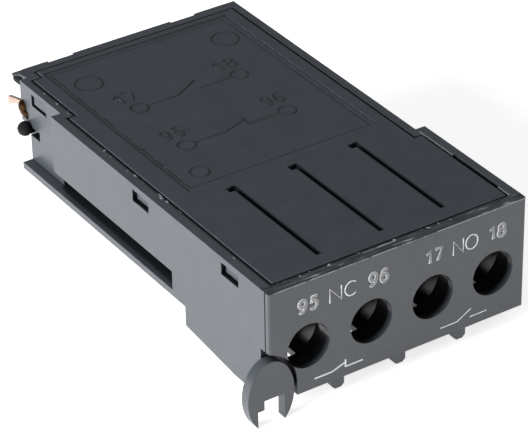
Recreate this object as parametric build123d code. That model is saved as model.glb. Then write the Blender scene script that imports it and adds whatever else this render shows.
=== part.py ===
from build123d import *
import os

# Auxiliary contact block: one normally closed and one normally open contact in a moulded case.
# Frame: X across the front from the middle, Y from the front face to the rear, Z up from the
# underside of the front block. All sizes are in millimetres.

# Case
front_width = 45.0
block_depth = 25.0
block_height = 18.7
side_step = 1.7
rear_rim_y = 75.4
rear_lip_depth = 2.8
low_corner_depth = 2.6
panel_length = 60.0
wall = 1.4
panel_wall = 1.75
front_wall = 4.7
floor_thickness = 1.1
body_underside = 4.6
groove_floor = 5.7
panel_underside = 8.9
groove_setback = 0.7
groove_depth = 1.2
groove_wall = 1.3
heel_inset = 2.7
block_heel_lift = 1.3
heel_flat_y = 9.0
front_rim = 1.9
edge_round = 0.4
edge_groove_y = 0.8
edge_groove_width = 0.3
edge_groove_depth = 0.15
rear_lip_height = 1.7
rear_lip_inset = 2.0
overlap = 0.1

# Top cover
cover_thickness = 1.3
cover_proud = 0.1
cover_gap = 0.3
cover_bevel = 0.12
cover_rear_inset = 2.1
cover_corner_rim = 1.1
cover_ledge = 0.9
slot_width = 0.7
slot_front_y = 4.7
slot_rear_y = 27.0
slot_head = 1.3
slot_offset = -0.45
recess_half_width = 17.0
recess_front_y = 29.3
recess_depth = 0.2
recess_rear_margin = 1.2
field_line_inset = 0.9
field_line_width = 0.15
field_line_depth = 0.1
rear_notch_x = (-11.9, 10.8)
rear_notch_width = 4.6
rear_notch_depth = 0.4
rear_notch_height = 1.0
front_window_y = 9.9
middle_window_y = 33.95
rear_window_inset = 8.55
window_length = 4.5
window_height = 2.0
window_drop = 0.95
tongue_gap = 0.35
tongue_leg = 1.0
tongue_reach = 1.45

# Terminals
terminal_pitch = 10.85
terminal_middle = 0.45
terminal_height = 7.7
access_radius = 3.65
access_rim = 1.2
chamber_radius = 4.4
lever_backing_wall = 0.6
chamber_half_width = 4.55
chamber_rear_y = 15.8
entry_front_y = 5.7
entry_rear_y = 12.2
entry_half_width = 2.7
foot_width = 2.1
foot_drop = 2.1
foot_setback = 0.6
foot_length = 4.2
foot_bevel = 0.5

# Terminal screws and clamps
head_radius = 2.9
head_height = 2.0
head_front_y = 5.4
shank_radius = 1.5
screw_travel = 2.3
driver_slot = 0.9
driver_depth = 1.1
driver_span = 4.4
head_round = 0.3
shank_end = 0.8
clamp_size = 6.6
clamp_thickness = 1.2
clamp_sheet = 0.9
clamp_lip = 0.7
strip_clearance = 0.1
running_gap = 0.05
head_seat_gap = 0.05

# Contact strips
strip_thickness = 0.9
strip_plate_width = 8.9
strip_plate_foot = 3.2
strip_run_width = 3.6
strip_top = 12.4
tip_radius = 1.1
tip_height = 0.6
closed_gap = 0.03

# Cross walls that carry the strips
chamber_rear_wall = 1.4
strip_rib_y = 24.0
strip_rib = 1.4
strip_slot_gap = 0.1
shank_pocket_web = 0.4

# Moving contacts and sliders
travel = 2.5
contact_float = 0.8
contact_spring_solid = 3.8
contact_z = 9.6
bridge_height = 2.2
bridge_thickness = 0.8
bridge_overhang = 1.6
stem_width = 3.6
stem_front_y = 33.0
stem_tail = 9.6
stem_foot = 7.2
stem_top = 12.0
window_rail = 1.0
window_front_wall = 1.0
bar_wall_gap = 0.5
bar_width = 2.4
arm_depth = 3.0
lower_bar_z = (7.4, 10.4)
upper_bar_drop = 0.6
upper_bar_height = 1.6
crossing_gap = 1.0
crossing_depth = 6.0
guide_rib_width = 0.8
guide_rib_rise = 0.7
shelf_setback = 8.6
crossing_lap = 2.0
guide_gap = 0.3

# Springs
return_spring_radius = 1.3
return_spring_wire = 0.32
return_spring_turns = 5
contact_spring_radius = 1.05
contact_spring_wire = 0.28
contact_spring_turns = 4
seat_peg_radius = 0.75
seat_peg_length = 1.5
spring_seat_gap = 0.05

# Plungers and blade at the rear left corner
knob_stand_off = 0.8
knob_z = 11.3
knob_inset = 2.2
knob_radius = 1.2
neck_inset = (2.7, 1.7)
neck_z = (10.4, 11.4)
upper_peg_inset = 3.2
upper_peg_drop = 2.3
upper_peg_radius = 0.8
upper_peg_reach = 4.6
upper_peg_root = 4.6
bore_gap = 0.08
blade_inset = 0.7
blade_drop = 4.2
blade_reach = 5.3
blade_root_height = 1.8
blade_tip_height = 1.1
blade_thickness = 0.6
blade_foot_radius = 1.0
blade_foot_inset = 2.0
blade_foot_proud = 0.4

# Locking lever at the lower left front corner; insets are from the left side of the case
lever_inset = 0.22
lever_height = 1.54
lever_half_width = 3.9
lever_half_height = 5.8
lever_thickness = 1.7
lever_pivot_inset = 1.6
lever_pivot_height = 3.5
lever_shaft_radius = 0.9
lever_recess_inset = -2.0
lever_recess_height = 2.5
lever_recess_half_width = 6.65
lever_recess_half_height = 6.4
lever_recess_depth = 2.2
lever_boss_rear_y = 8.5
lever_boss_margin = 0.5
lever_barb = 0.3
lever_barb_length = 1.2
lever_barb_room = 0.3
lever_barb_end_room = 1.6
lever_notch_insets = (-0.95, 2.5)
lever_notch_top = 1.15
lever_step = 1.1
lever_step_z = -0.4

half_width = front_width / 2
body_half = half_width - side_step
cover_underside = block_height - cover_thickness
rear_wall_y = rear_rim_y - rear_lip_depth
low_corner_y = rear_wall_y - low_corner_depth
cover_rear_y = rear_rim_y - cover_rear_inset
groove_front_y = block_depth + groove_setback
block_heel_y = block_depth - heel_inset
window_ys = (front_window_y, middle_window_y, rear_rim_y - rear_window_inset)
cavity_half = body_half - wall
panel_inner = half_width - panel_wall
floor_top = body_underside + floor_thickness
terminal_xs = [terminal_middle + terminal_pitch * (i - 1.5) for i in range(4)]
divider_xs = [terminal_middle + terminal_pitch * (i - 1) for i in range(3)]
pair_xs = [(terminal_xs[0] + terminal_xs[1]) / 2, (terminal_xs[2] + terminal_xs[3]) / 2]

head_rear_y = head_front_y + head_height
clamp_front_y = head_rear_y + head_seat_gap
clamp_rear_y = clamp_front_y + clamp_thickness
strip_front_y = clamp_rear_y + screw_travel + strip_clearance
shank_end_y = strip_front_y + strip_thickness + shank_end
strip_run_z = strip_top - strip_thickness

bar_left_x = -body_half + groove_depth + groove_wall + bar_wall_gap
knob_x = -body_half - knob_stand_off
knob_y = rear_wall_y - knob_inset
neck_y = (rear_wall_y - neck_inset[0], rear_wall_y - neck_inset[1])
upper_bar_z = (cover_underside - upper_bar_drop - upper_bar_height, cover_underside - upper_bar_drop)
upper_peg_x = -body_half + upper_peg_inset
upper_peg_z = cover_underside - upper_peg_drop
blade_x = -body_half + blade_inset
blade_z = cover_underside - blade_drop

lever_center = (-half_width + lever_inset, lever_height)
lever_pivot = (-half_width + lever_pivot_inset, lever_pivot_height)
lever_recess_center = (-half_width + lever_recess_inset, lever_recess_height)
lever_backing_depth = lever_recess_depth + lever_backing_wall
lever_notch_x = [-half_width + inset for inset in lever_notch_insets]

# The bridge of the closed contact lies against the rear end of its window and the open one
# against the front end; both windows are as long as bridge, spring and float need.
window_length_y = contact_spring_solid + contact_float + bridge_thickness
nc_window_front = stem_front_y + window_front_wall
nc_window = (nc_window_front, nc_window_front + window_length_y)
stem_rear_y = nc_window[1] + stem_tail
crossing_y = (stem_rear_y + crossing_gap, stem_rear_y + crossing_gap + crossing_depth)
nc_tip_y = nc_window[1] + tip_height
nc_fixed_y = nc_tip_y + closed_gap
nc_tab_y = nc_fixed_y + tip_height
no_window = (nc_window[0] + closed_gap, nc_window[1] + closed_gap)
no_tip_y = no_window[0] - tip_height
no_fixed_y = no_tip_y - travel - closed_gap
no_tab_y = no_fixed_y - tip_height - strip_thickness


def block(x0, x1, y0, y1, z0, z1):
    """Box between two corners."""
    size = Box(x1 - x0, y1 - y0, z1 - z0)
    return Pos((x0 + x1) / 2, (y0 + y1) / 2, (z0 + z1) / 2) * size


def rod(x, z, radius, y0, y1):
    """Round bar along Y."""
    return Pos(x, (y0 + y1) / 2, z) * Rot(90, 0, 0) * Cylinder(radius, y1 - y0)


def ball_rod(x, z, radius, y0, tip_y):
    """Round bar along Y with a domed end."""
    return rod(x, z, radius, y0, tip_y - radius) + Pos(x, tip_y - radius, z) * Sphere(radius)


def along_x(points, x0, x1):
    """Solid with the given outline in the Y-Z plane, from x0 to x1."""
    face = make_face(Polyline(*points, close=True))
    return Pos(x0, 0, 0) * extrude(Plane.YZ * face, x1 - x0)


def along_y(sketch, y0, y1):
    """Solid from a sketch drawn in X and Z, from y0 to y1."""
    return Pos(0, y1, 0) * extrude(Plane.XZ * sketch, y1 - y0)


def windows():
    """Left and right snap windows: side sign, outer face, inner face and middle Y."""
    places = []
    for y in window_ys:
        deep = y < panel_length
        places.append((-1, half_width if deep else body_half, panel_inner if deep else cavity_half, y))
        front = y < block_depth
        places.append((1, half_width if front else body_half, panel_inner if front else cavity_half, y))
    return places


def cover_outline(gap):
    """Outline of the opening that holds the cover, less a gap all round."""
    left_wide = panel_inner - gap
    narrow = cavity_half - gap
    front = front_rim + gap
    jog_left = panel_length - panel_wall + gap
    jog_right = block_depth - panel_wall + gap
    rear = cover_rear_y + cover_gap - gap
    corner_x = body_half - rear_lip_inset - cover_corner_rim - gap
    corner_y = rear_wall_y - cover_corner_rim - gap
    return [
        (-left_wide, front),
        (left_wide, front),
        (left_wide, jog_right - 2 * gap),
        (narrow, jog_right - 2 * gap),
        (narrow, rear),
        (-corner_x, rear),
        (-corner_x, corner_y),
        (-narrow, corner_y),
        (-narrow, jog_left - 2 * gap),
        (-left_wide, jog_left - 2 * gap),
    ]


def plate(points, z0, z1):
    """Flat plate with the given outline in X and Y."""
    return Pos(0, 0, z0) * extrude(make_face(Polyline(*points, close=True)), z1 - z0)


def case_shell():
    """Outer form of the case with its cavities."""
    profile = [
        (0, 0),
        (heel_flat_y, 0),
        (block_heel_y, block_heel_lift),
        (block_heel_y, body_underside),
        (block_depth, body_underside),
        (block_depth, block_height),
        (0, block_height),
    ]
    shell = along_x(profile, -half_width, half_width)
    front_edges = shell.edges().filter_by(Axis.Z).group_by(Axis.Y)[0]
    shell = fillet(front_edges, edge_round)
    shell += block(-body_half, body_half, block_heel_y, rear_wall_y, body_underside, block_height)
    shell += block(-half_width, -body_half, block_heel_y, panel_length, panel_underside, block_height)
    shell += block(-half_width, -body_half, block_heel_y, low_corner_y, body_underside, groove_floor)
    shell += block(-half_width, -body_half, block_heel_y, groove_front_y, body_underside, block_height)
    lip_z = block_height - rear_lip_height
    lip_left = -body_half + rear_lip_inset
    shell += block(lip_left, body_half, rear_wall_y, rear_rim_y, lip_z, block_height)
    groove_inner = -body_half + groove_depth
    shell -= block(-body_half - 1, groove_inner, groove_front_y, panel_length, groove_floor, panel_underside)

    web = panel_underside + wall
    rear_in = rear_wall_y - wall
    top = cover_underside + overlap
    low_left = groove_inner + groove_wall
    shell -= block(-cavity_half, cavity_half, chamber_rear_y, rear_in, floor_top, top)
    shell += block(-cavity_half - overlap, low_left, chamber_rear_y, panel_length + groove_wall,
                   floor_top - overlap, web)
    shell -= block(-panel_inner, -cavity_half, chamber_rear_y, panel_length - panel_wall, web, top)
    shell -= block(cavity_half, panel_inner, chamber_rear_y, block_depth - panel_wall, floor_top, top)
    shell -= plate(cover_outline(0), cover_underside, block_height + 1)
    shell -= block(-half_width, -cavity_half, low_corner_y, rear_wall_y + overlap, 0, neck_z[1] + guide_gap)
    inner = -cavity_half + wall - guide_gap
    shell += block(-cavity_half, inner, low_corner_y - wall, rear_in + overlap, floor_top - overlap,
                   neck_z[0] - guide_gap)
    y0, y1 = edge_groove_y, edge_groove_y + edge_groove_width
    shell -= block(-half_width - 1, -half_width + edge_groove_depth, y0, y1, 0, block_height)
    return shell


def terminal_room(x):
    """Everything that one terminal takes out of the front block."""
    left = max(x - chamber_half_width, -panel_inner)
    right = x + chamber_half_width
    room = block(left, right, front_wall, chamber_rear_y, floor_thickness, block_height)
    room += block(x - entry_half_width, x + entry_half_width, entry_front_y, entry_rear_y, -1, body_underside)
    rim = lever_backing_depth if x == terminal_xs[0] else access_rim
    room += rod(x, terminal_height, chamber_radius, rim, front_wall + overlap)
    room += rod(x, terminal_height, access_radius, -1, front_wall + overlap)
    return room


def strip_ribs():
    """Two cross walls that carry the contact strips in open slots."""
    side = cavity_half
    ribs = block(-side, side, chamber_rear_y, chamber_rear_y + chamber_rear_wall, floor_top, cover_underside)
    ribs += block(-side, side, strip_rib_y, strip_rib_y + strip_rib, floor_top, cover_underside)
    half = strip_run_width / 2 + strip_slot_gap
    for x in terminal_xs:
        ribs -= block(x - half, x + half, chamber_rear_y - 1, strip_rib_y + strip_rib + 1, strip_run_z,
                      block_height)
    return ribs


def base_housing():
    """Moulded case, open at the top, with terminal chambers, windows, feet and guides."""
    shell = case_shell()
    for x in terminal_xs:
        shell -= terminal_room(x)
    shell += strip_ribs()
    pocket_y = chamber_rear_y + chamber_rear_wall - shank_pocket_web
    for x in terminal_xs:
        shell -= rod(x, terminal_height, shank_radius + guide_gap, chamber_rear_y - 1, pocket_y)

    half = foot_width / 2
    for x in divider_xs:
        foot = block(x - half, x + half, foot_setback, foot_setback + foot_length, -foot_drop, overlap)
        low_edges = foot.edges().filter_by(Axis.Y).group_by(Axis.Z)[0]
        shell += chamfer(low_edges, foot_bevel)

    for side, outer, inner, y in windows():
        z1 = block_height - window_drop
        x0, x1 = sorted((side * (outer + 1), side * (inner - 1)))
        shell -= block(x0, x1, y - window_length / 2, y + window_length / 2, z1 - window_height, z1)
        x0, x1 = sorted((side * inner, side * (inner - tongue_leg - 2 * cover_gap)))
        shell -= block(x0, x1, y - window_length / 2, y + window_length / 2, z1 - window_height, block_height)

    for x in rear_notch_x:
        x0, x1 = x - rear_notch_width / 2, x + rear_notch_width / 2
        low = block_height - rear_notch_height
        shell -= block(x0, x1, rear_rim_y - rear_notch_depth, rear_rim_y + 1, low, block_height + 1)

    rib_y = strip_rib_y + strip_rib
    rib_end = stem_rear_y - arm_depth - travel - guide_gap
    half = guide_rib_width / 2
    for x in pair_xs:
        shell += block(x - half, x + half, rib_y - overlap, rib_end, floor_top - overlap,
                       stem_foot + guide_rib_rise)
        shell += rod(x, contact_z, seat_peg_radius, rib_y - overlap, rib_y + seat_peg_length)
    shell += slider_guides()
    shell -= rear_passages()
    shell += lever_boss()
    shell -= lever_seat()
    return shell


def slider_guides():
    """Ribs inside the case that carry the two slider bars along the left wall."""
    inner = bar_left_x + bar_width + guide_gap
    rear = rear_wall_y - wall + overlap
    front = crossing_y[1] + guide_gap
    low = floor_top - overlap
    guides = block(inner, inner + wall, front, rear, low, upper_bar_z[1])
    rail = bar_left_x + bar_width / 2
    half = guide_rib_width / 2
    guides += block(rail - half, rail + half, crossing_y[0], rear, low, lower_bar_z[0] - guide_gap)
    guides += block(-cavity_half - overlap, inner + overlap, front, rear_wall_y - shelf_setback,
                    lower_bar_z[1] + guide_gap, upper_bar_z[0] - guide_gap)
    return guides


def rear_passages():
    """Slot and bore for the plungers and the seat of the blade at the rear left corner."""
    front = neck_y[0] - travel - guide_gap
    cut = block(-body_half - 1, -cavity_half + overlap, front, low_corner_y + overlap,
                neck_z[0] - guide_gap, neck_z[1] + guide_gap)
    cut += rod(upper_peg_x, upper_peg_z, upper_peg_radius + bore_gap, rear_wall_y - wall - overlap,
               rear_wall_y + overlap)
    cut += rod(blade_x, blade_z, blade_foot_radius, rear_wall_y - blade_foot_inset, rear_rim_y)
    return cut


def lever_recess():
    """Round recess of the lever in the front face."""
    cx, cz = lever_recess_center
    half, depth = lever_recess_half_width, lever_recess_depth
    cut = along_y(Pos(cx, cz) * Ellipse(half, lever_recess_half_height), -1, depth)
    return cut + block(cx, cx + half, -1, depth, -1, cz)


def lever_boss():
    """Thickened corner that the lever's shaft turns in."""
    left = -half_width + lever_boss_margin
    low = floor_thickness - overlap
    high = floor_top + lever_boss_margin
    return block(left, -cavity_half, front_wall - overlap, lever_boss_rear_y, low, high)


def lever_seat():
    """Round recess in the front corner, the shaft's bore and the room behind it."""
    cut = lever_recess()
    px, pz = lever_pivot
    cut += rod(px, pz, lever_shaft_radius + bore_gap, 0, lever_boss_rear_y + 1)
    room_rear = lever_boss_rear_y + lever_barb_length + lever_barb_end_room
    room = lever_shaft_radius + lever_barb + lever_barb_room
    cut += block(px - room, px + room, lever_boss_rear_y, room_rear, pz - room, pz + room)
    return cut


def label_field(inset, bottom):
    """Space of the label field above a level, drawn in from its border by an inset."""
    side = recess_half_width - inset
    rear = cover_rear_y - recess_rear_margin - inset
    return block(-side, side, recess_front_y + inset, rear, bottom, block_height + 1)


def top_cover():
    """Flat cover with slots over the dividers, a shallow label field and six snap tongues."""
    top = block_height + cover_proud
    cover = plate(cover_outline(cover_gap), cover_underside, top)
    cover = chamfer(cover.edges().group_by(Axis.Z)[-1], cover_bevel)
    cover -= block(-half_width, half_width, rear_wall_y - cover_gap, rear_rim_y, 0, top - cover_ledge)
    cover -= label_field(0, top - recess_depth)
    line = label_field(field_line_inset, top - recess_depth - field_line_depth)
    cover -= line - label_field(field_line_inset + field_line_width, 0)
    for x in [divider + slot_offset for divider in divider_xs]:
        cover -= block(x - slot_width / 2, x + slot_width / 2, slot_front_y, slot_rear_y, 0, top + 1)
        cover -= block(x - slot_head, x + slot_width / 2, slot_rear_y - slot_head, slot_rear_y, 0, top + 1)

    for side, outer, inner, y in windows():
        z1 = block_height - window_drop
        low = z1 - window_height + tongue_gap
        half = window_length / 2 - tongue_gap
        leg_outer = inner - cover_gap
        x0, x1 = sorted((side * leg_outer, side * (leg_outer - tongue_leg)))
        cover += block(x0, x1, y - half, y + half, low, cover_underside + overlap)
        x0, x1 = sorted((side * (leg_outer - overlap), side * (leg_outer + tongue_reach)))
        cover += block(x0, x1, y - half, y + half, low, z1 - tongue_gap)
    return cover


def terminal_screw(x):
    """Cross and slot head screw that closes one terminal."""
    z = terminal_height
    screw = rod(x, z, head_radius, head_front_y, head_rear_y)
    screw = fillet(screw.edges().group_by(Axis.Y)[0], head_round)
    screw += rod(x, z, shank_radius, head_rear_y - overlap, shank_end_y)
    slot = driver_slot / 2
    half = driver_span / 2
    y0 = head_front_y - overlap
    y1 = head_front_y + driver_depth
    screw -= block(x - head_radius, x + head_radius, y0, y1 - head_round, z - slot, z + slot)
    screw -= block(x - slot, x + slot, y0, y1, z - half, z + half)
    tip = screw.edges().group_by(Axis.Y)[-1]
    return chamfer(tip, head_round)


def clamp_plate(x):
    """Square pressure plate under the screw head, its two sides bent back to hold the wire."""
    half = clamp_size / 2
    z = terminal_height
    sheet = block(x - half, x + half, clamp_front_y, clamp_front_y + clamp_sheet, z - half, z + half)
    for side in (-1, 1):
        x0, x1 = sorted((x + side * half, x + side * (half - clamp_lip)))
        sheet += block(x0, x1, clamp_front_y, clamp_rear_y, z - half, z + half)
    return sheet - rod(x, z, shank_radius + running_gap, clamp_front_y - 1, clamp_rear_y + 1)


def strip_plate(x):
    """Upright plate with the tapped hole behind one terminal."""
    half = strip_plate_width / 2
    left = max(x - half, -panel_inner + strip_slot_gap)
    rear = strip_front_y + strip_thickness
    up = block(left, x + half, strip_front_y, rear, strip_plate_foot, strip_top)
    return up - rod(x, terminal_height, shank_radius + running_gap, strip_front_y - 1, rear + 1)


def terminal_strip(x, tab_y):
    """Contact strip: tapped plate in front, run through the cross walls, upright contact tab."""
    half = strip_run_width / 2
    rear = tab_y + strip_thickness
    run = block(x - half, x + half, strip_front_y, rear, strip_run_z, strip_top)
    tab = block(x - half, x + half, tab_y, rear, floor_top, strip_top)
    strip = strip_plate(x) + run + tab
    bends = strip.edges().filter_by(Axis.X).filter_by(
        lambda e: abs(e.center().Z - strip_top) < 0.01 and (e.center().Y > rear - 0.01)
    )
    return fillet(bends, strip_thickness * 0.8)


def contact_slider(pair_x, window):
    """Stem with the window for bridge and contact spring, common to both sliders."""
    half = stem_width / 2
    stem = block(pair_x - half, pair_x + half, stem_front_y, stem_rear_y, stem_foot, stem_top)
    stem -= block(pair_x - half - 1, pair_x + half + 1, window[0] - closed_gap, window[1] + closed_gap,
                  stem_foot + window_rail, stem_top - window_rail)
    peg_y = stem_front_y - seat_peg_length
    stem += rod(pair_x, contact_z, seat_peg_radius, peg_y, stem_front_y + overlap)
    return stem


def rib_slot(pair_x):
    """Groove under a slider for the guide rib of the case."""
    rib = guide_rib_width / 2 + guide_gap
    return block(pair_x - rib, pair_x + rib, stem_front_y - 1, crossing_y[1] + 1, 0, stem_foot + window_rail)


def fault_slider():
    """Lower slider: knob outside the wall, bar along it and arm to the closed contact's stem."""
    x = pair_xs[0]
    z0, z1 = lower_bar_z
    part = contact_slider(x, nc_window)
    bar_right = bar_left_x + bar_width
    part += block(bar_left_x, bar_right, stem_rear_y - arm_depth, neck_y[1], z0, z1)
    part += block(bar_left_x, x + stem_width / 2, stem_rear_y - arm_depth, stem_rear_y, z0, z1)
    part += block(bar_left_x, bar_right, neck_y[0], neck_y[1], z0, neck_z[1])
    part += block(knob_x, bar_left_x + overlap, neck_y[0], neck_y[1], neck_z[0], neck_z[1])
    part += Pos(knob_x, knob_y, knob_z) * Sphere(knob_radius)
    return part - rib_slot(x)


def position_slider():
    """Upper slider: peg, bar under the cover and plate that crosses to the open contact's stem."""
    x = pair_xs[1]
    z0, z1 = upper_bar_z
    y0, y1 = crossing_y
    part = contact_slider(x, no_window)
    half = stem_width / 2
    part += block(x - half, x + half, stem_rear_y - crossing_lap, y1, stem_foot + window_rail, z1)
    part += block(bar_left_x, x + half, y0, y1, z0, z1)
    part += block(bar_left_x, bar_left_x + bar_width, y0, low_corner_y - 1, z0, z1)
    left, right = upper_peg_x - upper_peg_radius, upper_peg_x + upper_peg_radius
    root_y = rear_wall_y - upper_peg_root
    part += block(left, right, root_y, low_corner_y - 1, upper_peg_z - upper_peg_radius, z0 + overlap)
    part += ball_rod(upper_peg_x, upper_peg_z, upper_peg_radius, root_y, rear_rim_y + upper_peg_reach)
    return part - rib_slot(x)


def bridge(pair, window_y):
    """Moving contact bar that joins the two tabs of one pair."""
    left, right = terminal_xs[2 * pair], terminal_xs[2 * pair + 1]
    z0, z1 = contact_z - bridge_height / 2, contact_z + bridge_height / 2
    y1 = window_y + bridge_thickness
    bar = block(left - bridge_overhang, right + bridge_overhang, window_y, y1, z0, z1)
    return fillet(bar.edges().filter_by(Axis.Y), 0.5)


def tips(xs, y0):
    """Silver contact rivets in a row."""
    return [rod(x, contact_z, tip_radius, y0, y0 + tip_height) for x in xs]


def coil_spring(x, y0, y1, radius, wire, turns):
    """Round wire compression spring along Y."""
    length = y1 - y0 - wire
    path = Helix(length / turns, length, radius)
    section = Plane(path @ 0, z_dir=path % 0) * Circle(wire / 2)
    coil = sweep(section, path=path, is_frenet=True)
    return Pos(x, y1 - wire / 2, contact_z) * Rot(90, 0, 0) * coil


def locking_lever():
    """Round tab with a stepped notch, on a shaft with a snap end."""
    cx, cz = lever_center
    outline = Pos(cx, cz) * Ellipse(lever_half_width, lever_half_height)
    x0, x1 = lever_notch_x
    top = lever_notch_top
    low = cz - lever_half_height - 1
    notch = Polyline((x0, top), (x1, top), (x1, low), (x0 - lever_step, low),
                     (x0 - lever_step, lever_step_z), (x0, lever_step_z), close=True)
    tab = along_y(outline - make_face(notch), 0, lever_thickness)
    px, pz = lever_pivot
    shaft_end = lever_boss_rear_y + 0.25
    tab += rod(px, pz, lever_shaft_radius, lever_thickness - overlap, shaft_end)
    barb = Pos(px, shaft_end + lever_barb_length / 2, pz) * Rot(-90, 0, 0) * Cone(
        lever_shaft_radius + lever_barb, lever_shaft_radius - 0.3, lever_barb_length)
    return tab + barb


def rear_blade():
    """Copper alloy blade with its round foot in the corner of the case."""
    y0, y1 = rear_wall_y - blade_foot_inset, rear_wall_y + blade_foot_proud
    blade_tip_y = y1 + blade_reach
    foot = rod(blade_x, blade_z, blade_foot_radius, y0, y1)
    foot = fillet(foot.edges().group_by(Axis.Y)[-1], blade_foot_radius / 2)
    root = blade_root_height / 2
    tip = blade_tip_height / 2
    outline = [(y1 - 1, blade_z - root), (blade_tip_y, blade_z - tip), (blade_tip_y, blade_z + tip),
               (y1 - 1, blade_z + root)]
    spade = along_x(outline, blade_x - blade_thickness / 2, blade_x + blade_thickness / 2)
    spade = chamfer(spade.edges().filter_by(Axis.X).group_by(Axis.Y)[-1], tip / 2)
    return foot + spade


parts = {
    "base_housing": base_housing(),
    "top_cover": top_cover(),
    "locking_lever": locking_lever(),
    "rear_blade": rear_blade(),
    "fault_slider": fault_slider(),
    "position_slider": position_slider(),
    "nc_bridge": bridge(0, nc_window[1] - bridge_thickness),
    "no_bridge": bridge(1, no_window[0]),
}
tabs = [nc_tab_y, nc_tab_y, no_tab_y, no_tab_y]
for i, x in enumerate(terminal_xs):
    parts[f"terminal_screw_{i + 1}"] = terminal_screw(x)
    parts[f"clamp_plate_{i + 1}"] = clamp_plate(x)
    parts[f"terminal_strip_{i + 1}"] = terminal_strip(x, tabs[i])

nc_xs, no_xs = terminal_xs[:2], terminal_xs[2:]
parts["nc_fixed_tips"] = Compound(tips(nc_xs, nc_fixed_y))
parts["nc_moving_tips"] = Compound(tips(nc_xs, nc_window[1]))
parts["no_fixed_tips"] = Compound(tips(no_xs, no_fixed_y - tip_height))
parts["no_moving_tips"] = Compound(tips(no_xs, no_tip_y))

return_spring_y = (strip_rib_y + strip_rib + spring_seat_gap, stem_front_y - spring_seat_gap)
contact_spring_y = {
    "nc": (nc_window[0] + spring_seat_gap, nc_window[1] - bridge_thickness - spring_seat_gap),
    "no": (no_window[0] + bridge_thickness + spring_seat_gap, no_window[1] - spring_seat_gap),
}
for name, x in (("nc", pair_xs[0]), ("no", pair_xs[1])):
    parts[f"{name}_return_spring"] = coil_spring(
        x, *return_spring_y, return_spring_radius, return_spring_wire, return_spring_turns)
    parts[f"{name}_contact_spring"] = coil_spring(
        x, *contact_spring_y[name], contact_spring_radius, contact_spring_wire, contact_spring_turns)

os.makedirs("parts", exist_ok=True)
for name, solid in parts.items():
    export_step(solid, f"parts/{name}.step")
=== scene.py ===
import math

import bmesh
import bpy
from mathutils import Matrix, Vector


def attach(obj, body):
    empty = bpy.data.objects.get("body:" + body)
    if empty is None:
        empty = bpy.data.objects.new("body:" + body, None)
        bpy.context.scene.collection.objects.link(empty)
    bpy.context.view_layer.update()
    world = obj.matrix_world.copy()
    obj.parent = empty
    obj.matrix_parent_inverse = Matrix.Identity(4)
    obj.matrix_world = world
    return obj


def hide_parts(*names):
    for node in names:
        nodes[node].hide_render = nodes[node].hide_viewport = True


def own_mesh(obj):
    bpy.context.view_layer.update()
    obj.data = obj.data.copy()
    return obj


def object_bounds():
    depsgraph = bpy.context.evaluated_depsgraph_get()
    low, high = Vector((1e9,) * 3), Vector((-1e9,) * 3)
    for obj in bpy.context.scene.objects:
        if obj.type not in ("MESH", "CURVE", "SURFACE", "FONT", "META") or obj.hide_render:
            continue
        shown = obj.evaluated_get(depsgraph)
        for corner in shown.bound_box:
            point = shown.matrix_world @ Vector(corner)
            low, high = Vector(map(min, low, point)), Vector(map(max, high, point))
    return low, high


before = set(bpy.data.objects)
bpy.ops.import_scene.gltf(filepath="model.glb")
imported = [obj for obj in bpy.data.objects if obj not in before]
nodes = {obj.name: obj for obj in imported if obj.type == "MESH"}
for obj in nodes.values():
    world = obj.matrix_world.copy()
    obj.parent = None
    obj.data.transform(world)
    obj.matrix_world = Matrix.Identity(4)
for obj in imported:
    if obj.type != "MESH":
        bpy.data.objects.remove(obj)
cad_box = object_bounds()
mm = 0.001

# Colours, linear
case_grey = (0.047, 0.053, 0.062)
cover_grey = (0.041, 0.047, 0.058)
black_plastic = (0.010, 0.010, 0.010)
zinc = (0.62, 0.62, 0.60)
brass = (0.78, 0.57, 0.28)
copper = (0.86, 0.66, 0.55)
solder_brown = (0.12, 0.062, 0.03)
silver = (0.88, 0.87, 0.84)
spring_wire = (0.50, 0.50, 0.51)
print_white = (0.90, 0.91, 0.92)
# Grey of the painted shade in the middle of the digit strokes
digit_shade_grey = (0.36, 0.365, 0.37)
# Grey of worn edges and burrs, also used for painted highlights
worn_and_sheen_grey = (0.26, 0.27, 0.285)
floor_grey = (0.8, 0.8, 0.8)

# All places below are in millimetres. A pair is the low and the high end.

# Screwdriver holes: middle of the first one, pitch, height, and radius of the part painted with shade
first_hole_x = -15.825
hole_pitch = 10.85
hole_z = 7.7
hole_reach = 4.9

# Rooms painted with shade, as they lie in the dark: the bores, the screw chambers, the hollow rear part and
# the rail groove
bore_y = (1.1, 16)
chamber_y, chamber_z = (4.7, 21.6), (1.6, 17.3)
hollow_y, hollow_z = (21.7, 69.5), (4.9, 17.3)
inside_x = (-20.6, 21.6)
groove_x, groove_y, groove_z = (-21.3, -19), (26, 60), (5.68, 8.8)
groove_darkness = 0.92
# Snap windows, painted with shade inside: X and Y of the inside of each, and their common Z
window_boxes = [
    ((-22.38, -19), (6, 59.9)),
    ((-20.7, -18), (62, 70)),
    ((19, 22.38), (6, 24.9)),
    ((18, 20.7), (26, 70)),
]
window_z = (15.7, 17.8)

# Rim of the case round the cover
rim_depth = 1.9
front_rim_x, front_rim_fade = (-21.2, 12), 2.0
# Y band of the painted dark reflection along the outer edge of the front rim
outer_dark_reflection_y = (0.1, 0.24)
# Z of the painted highlight line on the front face's top edge
top_line_z = (18.56, 18.7)
# X and Y of the painted highlight inside the right rim
right_rim_x, right_rim_y = (20.75, 21.0), (2.0, 24.0)
# Left edge of the cover's gap, with the stretch of Y where it lies there
left_gaps = [(-20.75, (1.6, 58.4)), (-19.4, (58.4, 71.4))]

# Slots of the cover
slots_x, slots_y = (-12, 12), (4.6, 27.0)

# Terminal marks on the front face: low end, high end and stroke width of digits and of letters
digit_row = (13.4, 16.0, 0.56)
letter_row = (13.35, 15.95, 0.23)
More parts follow.
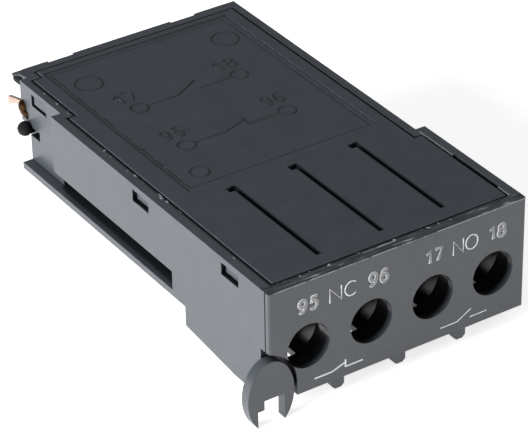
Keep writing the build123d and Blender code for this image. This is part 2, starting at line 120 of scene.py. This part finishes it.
# Text, left end, right end and row
marks = [
    ("95", -17.75, -13.95, digit_row),
    ("NC", -12.3, -7.4, letter_row),
    ("96", -5.65, -1.85, digit_row),
    ("17", 4.4, 7.65, digit_row),
    ("NO", 9.3, 13.9, letter_row),
    ("18", 15.75, 19.05, digit_row),
]
mark_relief = 0.05

# Circuit signs under the holes: name, middle, normally closed or not, and stroke width
front_signs = [("nc", -10.7, True, 0.3), ("no", 11.5, False, 0.2)]
front_sign_z = 1.6
front_sign_length = 8.4

# Diagram in the label field: Y of each contact, normally closed or not, and its terminals
diagram_contacts = [(41.0, True, ("95", "96")), (54.5, False, ("17", "18"))]
diagram_x = -1.0
diagram_length = 15.0
terminal_reach = 9.1
terminal_radius = 1.4
number_half_width, number_low, number_high, number_stroke = 2.0, 2.5, 5.6, 0.4
diagram_stroke = 0.42
ring_stroke = 0.45
# Plain rings in the label field: X, Y and radius
plain_rings = [(-12.6, 65.5, 2.2), (12.6, 65.5, 2.2), (-12.6, 33.4, 1.5)]
field_z = 18.6
field_relief = 0.09

# Blade at the rear left corner: X of its middle, half its thickness, and its outline in Y and Z
blade_x = -20.1
blade_half = 0.3
blade_outline = [
    (72.7, 14.75), (77.5, 13.5), (77.82, 13.35), (77.89, 13.05), (77.86, 12.35),
    (77.65, 12.08), (77.2, 12.1), (75.2, 13.2), (72.7, 13.8),
]
seat_y, seat_z, seat_radius = (70.7, 72.62), 13.2, 1.0
ball_x, ball_y, ball_z = -20.8, 71.95, 14.35
ball_half_x, ball_half_y, ball_half_z = 0.8, 0.85, 1.15

# Thin end of the rear lip: its outline in X and Y, and its Z
lip_outline = [
    (-20.75, 74.9), (-20.75, 75.2), (-20.6, 75.38), (-18.7, 75.38),
    (-18.7, 72.55), (-19.5, 72.55), (-19.9, 74.5),
]
lip_z = (18.3, 18.69)

# Springs: node, body, joint, Y of the fixed end and travel
springs = [
    ("nc_return_spring", "root", "fault_slide", 25.4, 2.5),
    ("no_return_spring", "root", "position_slide", 25.4, 2.5),
    ("nc_contact_spring", "fault", "nc_float", 34.0, 0.8),
    ("no_contact_spring", "position", "no_float", 39.43, 0.8),
]

# Camera, in radians and metres
view_azimuth = math.radians(-32.98)
view_elevation = math.radians(32.14)
view_roll = math.radians(-1.05)
view_distance = 416.17 * mm
view_aim = Vector((-14.86, 12.50, 22.52)) * mm
view_lens = 200.4

# Lamps: name, place in metres, size, power, and whether it shows in reflections
lamp_aim = (0, 35 * mm, 8 * mm)
lamps = [
    ("left_light", (-0.72, 0.02, 0.16), 0.55, 16.0, False),
    ("left_sheen", (-0.72, 0.02, 0.16), 0.55, 1.0, True),
    ("front_light", (0.42, -0.68, 0.26), 0.6, 1.1, True),
    ("top_light", (0.05, 0.25, 0.8), 0.7, 0.5, True),
]
surroundings = (0.15, 0.15, 0.156)
# Glow of the floor as the camera sees it, and as reflections see it
floor_glow = 0.72
mirrored_glow = 0.62


# Building blocks of the finishes

def shader(name):
    """New material with its Principled shader and node tree."""
    material = bpy.data.materials.new(name)
    material.use_nodes = True
    tree = material.node_tree
    return material, tree, tree.nodes["Principled BSDF"]


def link(tree, source, target):
    tree.links.new(source, target)


def tone(color, factor):
    """Colour made lighter or darker by a factor."""
    return tuple(c * factor for c in color)


def noise(tree, scale, detail=3.0, stretch=(1, 1, 1)):
    """Noise that keeps its place on the part; scale is in waves a metre."""
    coords = tree.nodes.new("ShaderNodeTexCoord")
    mapping = tree.nodes.new("ShaderNodeMapping")
    mapping.inputs["Scale"].default_value = stretch
    texture = tree.nodes.new("ShaderNodeTexNoise")
    texture.inputs["Scale"].default_value = scale
    texture.inputs["Detail"].default_value = detail
    link(tree, coords.outputs["Object"], mapping.inputs["Vector"])
    link(tree, mapping.outputs["Vector"], texture.inputs["Vector"])
    return texture.outputs["Fac"]


def place(tree):
    """Place of a point on the part, as X, Y and Z in millimetres."""
    coords = tree.nodes.new("ShaderNodeTexCoord")
    scale = tree.nodes.new("ShaderNodeVectorMath")
    scale.operation = "SCALE"
    scale.inputs["Scale"].default_value = 1 / mm
    parts = tree.nodes.new("ShaderNodeSeparateXYZ")
    link(tree, coords.outputs["Object"], scale.inputs[0])
    link(tree, scale.outputs["Vector"], parts.inputs["Vector"])
    return parts.outputs["X"], parts.outputs["Y"], parts.outputs["Z"]


def ease(tree, value, start, end, low=0.0, high=1.0):
    """Value that goes from low at start to high at end."""
    node = tree.nodes.new("ShaderNodeMapRange")
    for name, number in (("From Min", start), ("From Max", end), ("To Min", low), ("To Max", high)):
        node.inputs[name].default_value = number
    link(tree, value, node.inputs["Value"])
    return node.outputs["Result"]


def calc(tree, operation, *values):
    """Result of a math operation on sockets or plain numbers."""
    node = tree.nodes.new("ShaderNodeMath")
    node.operation = operation
    for socket, value in zip(node.inputs, values):
        if isinstance(value, (int, float)):
            socket.default_value = value
        else:
            link(tree, value, socket)
    return node.outputs["Value"]


def product(tree, first, *others):
    for other in others:
        first = calc(tree, "MULTIPLY", first, other)
    return first


def largest(tree, first, *others):
    for other in others:
        first = calc(tree, "MAXIMUM", first, other)
    return first


def within(tree, value, low, high, soft):
    """1 between low and high, with soft ends outside them."""
    rise = ease(tree, value, low - soft, low)
    fall = ease(tree, value, high, high + soft, 1.0, 0.0)
    return product(tree, rise, fall)


def region(tree, *bands):
    """1 where every band holds; a band is a value, its low end, its high end and its softness."""
    return product(tree, *[within(tree, *band) for band in bands])


def on_top(tree, z):
    """1 on the top of the rim."""
    return ease(tree, z, 18.5, 18.65)


def off_axis(tree, x, first):
    """Distance in X from the nearest of a row of places one hole pitch apart, the first one given."""
    shifted = calc(tree, "ADD", x, hole_pitch / 2 - first)
    repeated = calc(tree, "FLOORED_MODULO", shifted, hole_pitch)
    return calc(tree, "SUBTRACT", repeated, hole_pitch / 2)


def ramp(tree, value, low, high, dark, light):
    """Colour ramp between two colours as value goes from low to high."""
    node = tree.nodes.new("ShaderNodeValToRGB")
    for element, position, color in zip(node.color_ramp.elements, (low, high), (dark, light)):
        element.position = position
        element.color = (*color, 1)
    link(tree, value, node.inputs["Fac"])
    return node.outputs["Color"]


def mix(tree, factor, under, color):
    """Colour over another one where the factor is 1."""
    node = tree.nodes.new("ShaderNodeMix")
    node.data_type = "RGBA"
    link(tree, factor, node.inputs["Factor"])
    link(tree, under, node.inputs["A"])
    node.inputs["B"].default_value = (*color, 1)
    return node.outputs["Result"]


def soft_edge(tree, radius):
    """Normal that is rounded at edges by a radius in millimetres."""
    bevel = tree.nodes.new("ShaderNodeBevel")
    bevel.samples = 6
    bevel.inputs["Radius"].default_value = radius * mm
    return bevel.outputs["Normal"]


def bump(tree, height, strength, depth, normal=None):
    """Normal of a surface with small relief; depth is in millimetres."""
    node = tree.nodes.new("ShaderNodeBump")
    node.inputs["Strength"].default_value = strength
    node.inputs["Distance"].default_value = depth * mm
    link(tree, height, node.inputs["Height"])
    if normal is not None:
        link(tree, normal, node.inputs["Normal"])
    return node.outputs["Normal"]


def turned_edge(tree, edge):
    """1 where a rounded edge turns away from its face."""
    geometry = tree.nodes.new("ShaderNodeNewGeometry")
    facing = tree.nodes.new("ShaderNodeVectorMath")
    facing.operation = "DOT_PRODUCT"
    link(tree, edge, facing.inputs[0])
    link(tree, geometry.outputs["True Normal"], facing.inputs[1])
    return ease(tree, facing.outputs["Value"], 0.995, 0.8)


def worn_and_highlit_edges(tree, edge, amount):
    """Patchy factor that is high along sharp edges, for lighter edges that are partly wear and partly a
    painted highlight.
    """
    patchy = ease(tree, noise(tree, 900, 4), 0.5, 0.64, 0.2 * amount, amount)
    return product(tree, turned_edge(tree, edge), patchy)


def crevice(tree, reach):
    """1 in gaps narrower than the reach in millimetres, where no light gets in."""
    node = tree.nodes.new("ShaderNodeAmbientOcclusion")
    node.samples = 8
    node.inputs["Distance"].default_value = reach * mm
    return ease(tree, node.outputs["AO"], 0.72, 0.42)


# Painted shade, painted highlights and wear of the case and the cover

def inside_case(tree):
    """1 in the holes, the screw chambers, the hollow case, its windows and the rail groove, where shade is
    painted.
    """
    x, y, z = place(tree)
    across = off_axis(tree, x, first_hole_x)
    upward = calc(tree, "SUBTRACT", z, hole_z)
    squares = calc(tree, "ADD", product(tree, across, across), product(tree, upward, upward))
    radius = calc(tree, "SQRT", squares)
    hole = product(tree, ease(tree, radius, hole_reach, hole_reach - 0.4), within(tree, y, *bore_y, 0.9))
    chambers = region(tree, (y, *chamber_y, 0.1), (z, *chamber_z, 0.1))
    hollow = region(tree, (y, *hollow_y, 0.1), (z, *hollow_z, 0.15))
    rooms = product(tree, largest(tree, hole, chambers, hollow), within(tree, x, *inside_x, 0.1))
    groove = region(tree, (x, *groove_x, 0.6), (y, *groove_y, 0.3), (z, *groove_z, 0.02))
    sides = [region(tree, (x, *box_x, 0.05), (y, *box_y, 0.1)) for box_x, box_y in window_boxes]
    windows = product(tree, largest(tree, *sides), within(tree, z, *window_z, 0.04))
    return largest(tree, rooms, product(tree, groove, groove_darkness), windows)


def front_rim_lines(tree):
    """Painted highlight along the top edge of the front face, with small gaps, and inside the right rim."""
    x, y, z = place(tree)
    broken = ease(tree, noise(tree, 420, 3, (1, 0.2, 0.2)), 0.36, 0.46)
    front_skin = ease(tree, y, 0.06, 0.03)
    edge = product(tree, within(tree, z, *top_line_z, 0.05), front_skin, broken, ease(tree, x, -22.2, -20.5))
    rim = region(tree, (x, *right_rim_x, 0.08), (y, *right_rim_y, 0.2))
    return largest(tree, edge, product(tree, rim, ease(tree, z, 18.2, 18.4), 0.55))


def gap_bands(tree, width):
    """Strips of the rim's top beside the cover's gap, at the front and along the left side."""
    x, y, z = place(tree)
    bands = [region(tree, (y, rim_depth - width, rim_depth, 0.06), (x, *front_rim_x, front_rim_fade))]
    for gap_x, gap_y in left_gaps:
        bands.append(region(tree, (x, gap_x - width, gap_x + 0.05, 0.06), (y, *gap_y, 0.3)))
    return product(tree, largest(tree, *bands), on_top(tree, z))


def rim_shadow(tree):
    """Painted shade along the cover's gap, and a painted dark reflection along the outer edge of the front
    rim.
    """
    x, y, z = place(tree)
    outer = region(tree, (y, *outer_dark_reflection_y, 0.06), (x, *front_rim_x, front_rim_fade))
    return largest(tree, gap_bands(tree, 0.26), product(tree, outer, on_top(tree, z), 0.7))


def gap_flecks(tree):
    """Small light burrs scattered along the cover's gap."""
    return product(tree, gap_bands(tree, 0.5), ease(tree, noise(tree, 1100, 4, (1, 0.7, 1)), 0.62, 0.66))


def rim_streaks(tree, low, high):
    """Thin uneven streaks along the narrow front rim."""
    y, z = place(tree)[1:]
    streaks = ease(tree, noise(tree, 1500, 4, (0.16, 1.6, 1)), low, high)
    return product(tree, streaks, within(tree, y, outer_dark_reflection_y[0], rim_depth, 0.05), on_top(tree, z))


def slot_edges(tree):
    """Painted shade along the edges of the cover's three slots, which lie one hole pitch apart."""
    x, y = place(tree)[:2]
    across = calc(tree, "ABSOLUTE", off_axis(tree, x, 0))
    stretch = region(tree, (y, *slots_y, 0.15), (x, *slots_x, 0.1))
    return product(tree, ease(tree, across, 0.62, 0.42), stretch)


# Finishes

def moulded_plastic(name, color, roughness, edge_radius, rub_and_sheen, gloss=0.8, case=False, slots=False):
    """Moulded plastic with a fine eroded grain, faint mottling, lighter edges that are partly wear and partly
    a painted highlight, and painted shade in its gaps.
    """
    material, tree, principled = shader(name)
    edge = soft_edge(tree, edge_radius)
    shade = ramp(tree, noise(tree, 260, 5), 0.3, 0.7, tone(color, 0.92), tone(color, 1.08))
    # Lighter patchy edges, partly wear and partly a painted highlight
    shade = mix(tree, worn_and_highlit_edges(tree, edge, rub_and_sheen), shade, worn_and_sheen_grey)
    if case:
        # Painted shade along the cover's gap and a painted dark reflection on the front rim's outer edge
        shade = mix(tree, rim_shadow(tree), shade, tone(color, 0.2))
        shade = mix(tree, rim_streaks(tree, 0.52, 0.42), shade, tone(color, 0.4))
        shade = mix(tree, rim_streaks(tree, 0.61, 0.65), shade, worn_and_sheen_grey)
        shade = mix(tree, gap_flecks(tree), shade, tone(worn_and_sheen_grey, 1.3))
        # Painted highlight lines on the front face's top edge and inside the right rim
        shade = mix(tree, front_rim_lines(tree), shade, tone(worn_and_sheen_grey, 1.2))
        # Painted shade in the holes, screw chambers, hollow case, windows and rail groove
        shade = mix(tree, inside_case(tree), shade, tone(color, 0.14))
    if slots:
        # Painted shade along the edges of the slots
        shade = mix(tree, slot_edges(tree), shade, tone(color, 0.25))
    # Painted shade in narrow gaps
    shade = mix(tree, crevice(tree, 1.0), shade, tone(color, 0.10))
    link(tree, shade, principled.inputs["Base Color"])

    fine = bump(tree, noise(tree, 5200, 2), 0.22, 0.02, edge)
    coarse = bump(tree, noise(tree, 700, 2), 0.10, 0.05, fine)
    link(tree, coarse, principled.inputs["Normal"])
    rough = ease(tree, noise(tree, 1500, 3), 0, 1, roughness - 0.05, roughness + 0.06)
    link(tree, rough, principled.inputs["Roughness"])
    principled.inputs["Specular IOR Level"].default_value = gloss
    return material


def metal(name, color, roughness, stretch, edge_radius=0.08, face=1.0):
    """Bare metal with drawing lines along one direction and small stains. Face below 1 paints shade on the
    flat faces, all but their edges.
    """
    material, tree, principled = shader(name)
    edge = soft_edge(tree, edge_radius)
    shade = ramp(tree, noise(tree, 500, 4), 0.3, 0.75, tone(color, 0.82 * face), tone(color, face))
    if face < 1:
        shade = mix(tree, turned_edge(tree, edge), shade, color)
    link(tree, shade, principled.inputs["Base Color"])
    principled.inputs["Metallic"].default_value = 1.0
    lines = noise(tree, 3000, 2, stretch)
    link(tree, bump(tree, lines, 0.25, 0.01, edge), principled.inputs["Normal"])
    link(tree, ease(tree, lines, 0, 1, roughness - 0.06, roughness + 0.1), principled.inputs["Roughness"])
    return material


def ink(name, color, core):
    """Matt pad print; core is its colour where the round strokes face straight out, a painted shade that
    leaves their flanks as a painted highlight.
    """
    material, tree, principled = shader(name)
    uneven = ramp(tree, noise(tree, 2600, 3), 0.25, 0.6, tone(color, 0.86), color)
    coords = tree.nodes.new("ShaderNodeTexCoord")
    parts = tree.nodes.new("ShaderNodeSeparateXYZ")
    link(tree, coords.outputs["Normal"], parts.inputs["Vector"])
    middle = ease(tree, parts.outputs["Y"], -0.95, -0.98)
    link(tree, mix(tree, middle, uneven, core), principled.inputs["Base Color"])
    principled.inputs["Roughness"].default_value = 0.6
    link(tree, bump(tree, noise(tree, 6000, 2), 0.3, 0.01), principled.inputs["Normal"])
    return material


case = moulded_plastic("case_plastic", case_grey, 0.32, 0.14, 0.35, case=True)
cover = moulded_plastic("cover_plastic", cover_grey, 0.34, 0.12, 0.8, slots=True)
# Raised diagram: the cover's plastic at half its colour, as painted shade
relief = moulded_plastic("relief_plastic", tone(cover_grey, 0.5), 0.3, 0.05, 0.5)
lever = moulded_plastic("lever_plastic", case_grey, 0.34, 0.12, 0.25)
slider = moulded_plastic("slider_plastic", black_plastic, 0.6, 0.1, 0.0, gloss=0.2)
# Screw heads: painted shade on the flat faces, the edges keep the zinc colour
screw_metal = metal("zinc_plated_screw", zinc, 0.32, (1, 0.05, 1), 0.25, 0.3)
clamp_metal = metal("zinc_plated_steel", zinc, 0.32, (1, 0.05, 1))
strip_metal = metal("strip_brass", brass, 0.30, (1, 1, 0.05))
blade_metal = metal("blade_copper", copper, 0.42, (1, 0.05, 1))
foot_metal = metal("blade_foot", solder_brown, 0.5, (1, 1, 1))
tip_metal = metal("contact_silver", silver, 0.22, (1, 1, 1), 0.05)
wire_metal = metal("spring_wire", spring_wire, 0.30, (1, 0.2, 1), 0.02)
# Digits: white print with painted shade in the middle of the strokes and a painted highlight on their flanks
digit_ink = ink("digit_ink", print_white, digit_shade_grey)
letter_ink = ink("letter_ink", print_white, print_white)

# A node takes the first finish whose word is in its name
finishes = {
    "base_housing": case,
    "top_cover": cover,
    "locking_lever": lever,
    "rear_blade": blade_metal,
    "slider": slider,
    "screw": screw_metal,
    "clamp": clamp_metal,
    "strip": strip_metal,
    "bridge": strip_metal,
    "tips": tip_metal,
    "spring": wire_metal,
}
for name, node in nodes.items():
    finish = next(material for word, material in finishes.items() if word in name)
    node.data.materials.clear()
    node.data.materials.append(finish)


# Marks, signs and the raised diagram

def arc(cx, cy, rx, ry, start, end):
    """Points along an ellipse between two angles in degrees."""
    count = max(4, round(abs(end - start) / 15))
    angles = [math.radians(start + (end - start) * i / count) for i in range(count + 1)]
    return [(cx + rx * math.cos(a), cy + ry * math.sin(a)) for a in angles]


nine = [arc(0.5, 0.69, 0.43, 0.31, 0, 360), arc(0.42, 0.69, 0.51, 0.69, 0, -125)]
# Width of each sign for a height of 1, and its strokes in a box of 1 by 1
glyphs = {
    "1": (0.42, [[(0.0, 0.73), (0.75, 1.0), (0.75, 0.0)]]),
    "5": (0.68, [[(0.9, 1.0), (0.22, 1.0), (0.14, 0.55)] + arc(0.46, 0.33, 0.46, 0.33, 137, -145)]),
    "6": (0.68, [[(1 - x, 1 - y) for x, y in stroke] for stroke in nine]),
    "7": (0.62, [[(0.02, 1.0), (0.98, 1.0), (0.38, 0.0)]]),
    "8": (0.68, [arc(0.5, 0.75, 0.38, 0.25, 0, 360), arc(0.5, 0.26, 0.48, 0.26, 0, 360)]),
    "9": (0.68, nine),
    "C": (0.86, [arc(0.55, 0.5, 0.52, 0.5, 48, 312)]),
    "N": (0.80, [[(0.0, 0.0), (0.0, 1.0), (1.0, 0.0), (1.0, 1.0)]]),
    "O": (0.98, [arc(0.5, 0.5, 0.5, 0.5, 0, 360)]),
}


def text_strokes(text, x0, x1, low, high, width):
    """Strokes of a text fitted between x0 and x1 and between low and high."""
    gap = 0.13 + width / (high - low)
    total = sum(glyphs[c][0] for c in text) + gap * (len(text) - 1)
    across = (x1 - x0 - width) / total
    up = high - low - width
    strokes = []
    start = x0 + width / 2
    for c in text:
        wide, lines = glyphs[c]
        for line in lines:
            strokes.append([(start + x * wide * across, low + width / 2 + y * up) for x, y in line])
        start += (wide + gap) * across
    return strokes


def contact_symbol(cx, cy, length, closed):
    """Circuit sign of one contact along the first axis: two leads, the blade and, when closed, its stop."""
    half = length / 2
    gap = length * 0.14
    rise = length * (0.10 if closed else 0.17)
    strokes = [
        [(cx - half, cy), (cx - gap, cy), (cx + gap * 1.15, cy + rise)],
        [(cx + gap, cy), (cx + half, cy)],
    ]
    if closed:
        strokes.append([(cx + gap, cy), (cx + gap, cy + rise * 1.5)])
    return strokes


def round_strokes(name, strokes, width):
    """Mesh of round strokes in the plane of the first two axes, in millimetres."""
    curve = bpy.data.curves.new(name, "CURVE")
    curve.dimensions = "3D"
    curve.bevel_depth = width / 2
    curve.bevel_resolution = 3
    curve.use_fill_caps = True
    for stroke in strokes:
        closed = math.dist(stroke[0], stroke[-1]) < 1e-6
        points = stroke[:-1] if closed else stroke
        spline = curve.splines.new("POLY")
        spline.points.add(len(points) - 1)
        for point, (u, v) in zip(spline.points, points):
            point.co = (u, v, 0, 1)
        spline.use_cyclic_u = closed
    source = bpy.data.objects.new(f"source_{name}", curve)
    bpy.context.scene.collection.objects.link(source)
    bpy.context.view_layer.update()
    mesh = bpy.data.meshes.new_from_object(source.evaluated_get(bpy.context.evaluated_depsgraph_get()))
    bpy.data.objects.remove(source)
    return mesh


def add_piece(name, mesh, material):
    """Shown object from a mesh, shaded smooth, with one finish."""
    mesh.shade_smooth()
    mesh.materials.clear()
    mesh.materials.append(material)
    piece = bpy.data.objects.new(name, mesh)
    bpy.context.scene.collection.objects.link(piece)
    return piece


def stroke_piece(name, strokes, width, material, on_field=False):
    """Flattened round strokes on the front face, or on the label field of the cover."""
    mesh = round_strokes(name, strokes, width)
    flat = (field_relief if on_field else mark_relief) / (width / 2)
    for v in mesh.vertices:
        u, w, rise = v.co.x, v.co.y, v.co.z * flat
        v.co = Vector((u, w, field_z + rise) if on_field else (u, -rise, w)) * mm
    if not on_field:
        mesh.flip_normals()
    piece = add_piece(name, mesh, material)
    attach(piece, "root")


def front_marks():
    """Terminal marks over the holes."""
    for text, x0, x1, (low, high, width) in marks:
        strokes = text_strokes(text, x0, x1, low, high, width)
        stroke_piece(f"mark_{text}", strokes, width, digit_ink if text.isdigit() else letter_ink)


def front_symbols():
    """Printed circuit signs under the holes, one for each contact."""
    for name, cx, closed, width in front_signs:
        strokes = contact_symbol(cx, front_sign_z, front_sign_length, closed)
        stroke_piece(f"sign_{name}", strokes, width, letter_ink)


def field_diagram():
    """Raised wiring diagram and plain rings in the label field of the cover."""
    strokes = []
    for cy, closed, numbers in diagram_contacts:
        strokes += contact_symbol(diagram_x, cy, diagram_length, closed)
        for end, digits in zip((-1, 1), numbers):
            cx = diagram_x + end * terminal_reach
            low, high = cy + number_low, cy + number_high
            strokes.append(arc(cx, cy, terminal_radius, terminal_radius, 0, 360))
            left, right = cx - number_half_width, cx + number_half_width
            strokes += text_strokes(digits, left, right, low, high, number_stroke)
    stroke_piece("field_diagram", strokes, diagram_stroke, relief, on_field=True)
    rings = [arc(x, y, r, r, 0, 360) for x, y, r in plain_rings]
    stroke_piece("field_rings", rings, ring_stroke, relief, on_field=True)


# Pieces with more form than their solids

def to_mesh(name, build):
    """Mesh from a bmesh, with its faces turned outward."""
    bmesh.ops.recalc_face_normals(build, faces=build.faces)
    mesh = bpy.data.meshes.new(name)
    build.to_mesh(mesh)
    build.free()
    return mesh


def prism(name, ends):
    """Mesh of a closed solid between two outlines of as many points, in millimetres."""
    build = bmesh.new()
    near, far = [[build.verts.new(Vector(point) * mm) for point in end] for end in ends]
    build.faces.new(near)
    build.faces.new(list(reversed(far)))
    for i in range(len(near)):
        j = (i + 1) % len(near)
        build.faces.new((near[j], near[i], far[i], far[j]))
    return to_mesh(name, build)


def rings_solid(name, profile, turns=32):
    """Mesh of a closed solid through ovals square to Y: X, half width, half height, Z and Y of each."""
    build = bmesh.new()
    angles = [2 * math.pi * i / turns for i in range(turns)]
    rings = []
    for x, wide, high, z, y in profile:
        ring = [Vector((x + wide * math.cos(a), y, z + high * math.sin(a))) * mm for a in angles]
        rings.append([build.verts.new(point) for point in ring])
    for near, far in zip(rings, rings[1:]):
        for i in range(turns):
            j = (i + 1) % turns
            build.faces.new((near[i], near[j], far[j], far[i]))
    build.faces.new(rings[-1])
    build.faces.new(list(reversed(rings[0])))
    return to_mesh(name, build)


def round_edges(piece, radius):
    """Rounds the edges of a piece by a radius in millimetres."""
    rounding = piece.modifiers.new("rounding", "BEVEL")
    rounding.width = radius * mm
    rounding.segments = 3


def rear_blade():
    """Copper blade with the round seat and the ball that hold it in the rear wall."""
    ends = [[(x, y, z) for y, z in blade_outline] for x in (blade_x - blade_half, blade_x + blade_half)]
    blade = add_piece("blade_strip", prism("blade_strip", ends), blade_metal)
    round_edges(blade, 0.1)

    seat_rings = [(blade_x, seat_radius, seat_radius, seat_z, y) for y in seat_y]
    seat = add_piece("blade_seat", rings_solid("blade_seat", seat_rings), foot_metal)

    # Radius of the ball at its rings, and how far along Y they lie, for a ball of radius 1
    unit_ball = [(0.25, -0.97), (0.5, -0.87), (0.71, -0.71), (0.87, -0.5), (0.97, -0.26), (1.0, 0.0),
                 (0.97, 0.26), (0.87, 0.5), (0.71, 0.71), (0.5, 0.87), (0.25, 0.97)]
    ball_rings = []
    for r, t in unit_ball:
        ball_rings.append((ball_x, ball_half_x * r, ball_half_z * r, ball_z, ball_y + ball_half_y * t))
    foot = add_piece("blade_foot", rings_solid("blade_foot", ball_rings), foot_metal)
    for piece in (blade, seat, foot):
        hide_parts("rear_blade")
        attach(piece, "root")


def lip_hood():
    """Thin end of the rear lip that reaches past the upper plunger."""
    ends = [[(x, y, z) for x, y in lip_outline] for z in lip_z]
    hood = add_piece("lip_hood", prism("lip_hood", ends), case)
    round_edges(hood, 0.08)
    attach(hood, "root")


def soft_spring(node, body, joint, fixed_y, travel):
    """Coil spring copied onto a body in place of its solid, at the length it was modelled."""
    source = nodes[node]
    piece = bpy.data.objects.new(f"{node}_coil", source.data.copy())
    piece.matrix_world = source.matrix_world
    bpy.context.scene.collection.objects.link(piece)
    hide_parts(node)
    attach(piece, body)
    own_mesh(piece)


# Camera, lamps, floor and surroundings

def add_camera():
    """Camera at the photograph's angle, rolled a little as the photograph is."""
    back = Vector((
        math.sin(view_azimuth) * math.cos(view_elevation),
        -math.cos(view_azimuth) * math.cos(view_elevation),
        math.sin(view_elevation),
    ))
    level = Vector((0, 0, 1)).cross(back).normalized()
    upright = back.cross(level)
    right = math.cos(view_roll) * level + math.sin(view_roll) * upright
    up = -math.sin(view_roll) * level + math.cos(view_roll) * upright
    data = bpy.data.cameras.new("camera")
    data.lens = view_lens
    data.sensor_width = 36
    data.clip_start = 0.01
    camera = bpy.data.objects.new("camera", data)
    axes = Matrix((right, up, back)).transposed().to_4x4()
    camera.matrix_world = Matrix.Translation(view_aim + back * view_distance) @ axes
    bpy.context.scene.collection.objects.link(camera)
    bpy.context.scene.camera = camera


def softbox(name, where, size, power, shine):
    """Square lamp that faces the part. Without shine it leaves no glare on flat faces."""
    data = bpy.data.lights.new(name, "AREA")
    data.shape = "SQUARE"
    data.size = size
    data.energy = power
    lamp = bpy.data.objects.new(name, data)
    lamp.location = where
    lamp.rotation_euler = (Vector(lamp_aim) - Vector(where)).to_track_quat("-Z", "Y").to_euler()
    lamp.visible_glossy = shine
    bpy.context.scene.collection.objects.link(lamp)


def add_floor(height):
    """Plain pale floor that shows white to the camera and keeps the shadow."""
    bpy.ops.mesh.primitive_plane_add(size=8, location=(0, 0, height))
    floor = bpy.context.active_object
    floor.name = "floor"
    material, tree, principled = shader("pale_floor")
    principled.inputs["Base Color"].default_value = (*floor_grey, 1)
    principled.inputs["Roughness"].default_value = 0.9
    principled.inputs["Specular IOR Level"].default_value = 0.0
    rays = tree.nodes.new("ShaderNodeLightPath").outputs
    direct = product(tree, rays["Is Camera Ray"], floor_glow)
    mirrored = product(tree, largest(tree, rays["Is Glossy Ray"], rays["Is Transmission Ray"]), mirrored_glow)
    principled.inputs["Emission Color"].default_value = (1, 1, 1, 1)
    link(tree, largest(tree, direct, mirrored), principled.inputs["Emission Strength"])
    floor.data.materials.append(material)


def add_world():
    """Even grey surroundings."""
    world = bpy.data.worlds.new("studio")
    world.use_nodes = True
    background = world.node_tree.nodes["Background"]
    background.inputs["Color"].default_value = (*surroundings, 1)
    background.inputs["Strength"].default_value = 1.0
    bpy.context.scene.world = world


front_marks()
front_symbols()
field_diagram()
rear_blade()
lip_hood()
for spring in springs:
    soft_spring(*spring)

add_camera()
add_world()
add_floor(cad_box[0][2])
for lamp in lamps:
    softbox(*lamp)

bpy.context.scene.view_settings.view_transform = "Standard"
